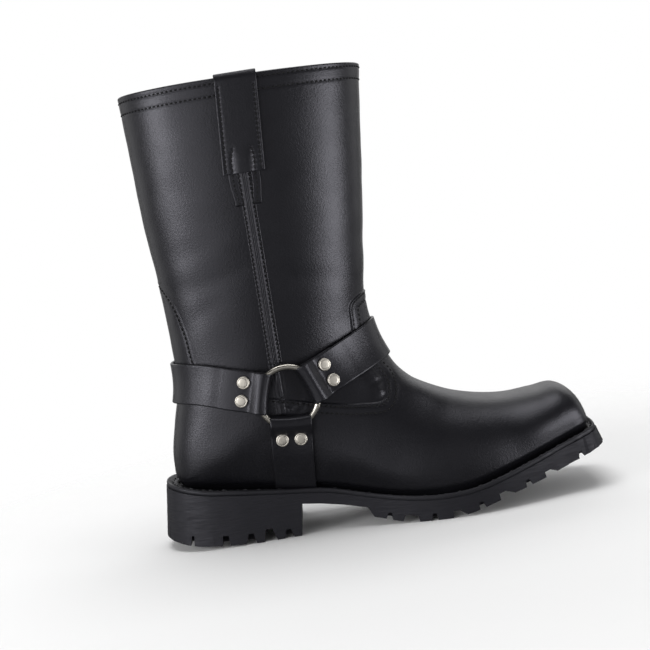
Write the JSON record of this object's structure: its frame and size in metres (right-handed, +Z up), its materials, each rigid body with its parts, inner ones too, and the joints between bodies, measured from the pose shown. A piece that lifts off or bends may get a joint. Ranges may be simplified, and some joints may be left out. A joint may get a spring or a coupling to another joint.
{
  "type": "harness boot",
  "caption": "Right pull-on harness boot: hollow leather upper with square toe, welted lug sole with heel, and ankle straps joined by metal rings and rivets.",
  "frame": {"origin": "on the floor, under the middle of the boot's overall length and width", "axes": "+X to the toe, +Y to the inner side of the foot, +Z up"},
  "size_m": [0.3148, 0.1095, 0.3164],
  "materials": {
    "leather": "smooth black full-grain leather, waxed, semi-gloss",
    "strap_leather": "black strap leather, semi-gloss, cut edges dyed",
    "welt": "black welt, dull",
    "rubber": "black moulded rubber, buffed at the edge, dull",
    "insole": "dark insole, matt",
    "nickel": "nickel plate, satin"
  },
  "bodies": {
    "root": {"upper": "leather", "insole": "insole", "outsole": "rubber", "welt": "welt", "side_seam_outer": "leather", "side_seam_inner": "leather", "pull_strap_outer": "strap_leather", "pull_strap_inner": "strap_leather", "strap_heel": "strap_leather", "strap_instep": "strap_leather", "strap_sole_outer": "strap_leather", "strap_sole_inner": "strap_leather", "ring_outer": "nickel", "ring_inner": "nickel", "rivet_heel_outer_1": "nickel", "rivet_heel_outer_2": "nickel", "rivet_heel_inner_1": "nickel", "rivet_heel_inner_2": "nickel", "rivet_instep_outer_1": "nickel", "rivet_instep_outer_2": "nickel", "rivet_instep_inner_1": "nickel", "rivet_instep_inner_2": "nickel", "rivet_sole_outer_1": "nickel", "rivet_sole_outer_2": "nickel", "rivet_sole_inner_1": "nickel", "rivet_sole_inner_2": "nickel"}
  },
  "joints": []
}
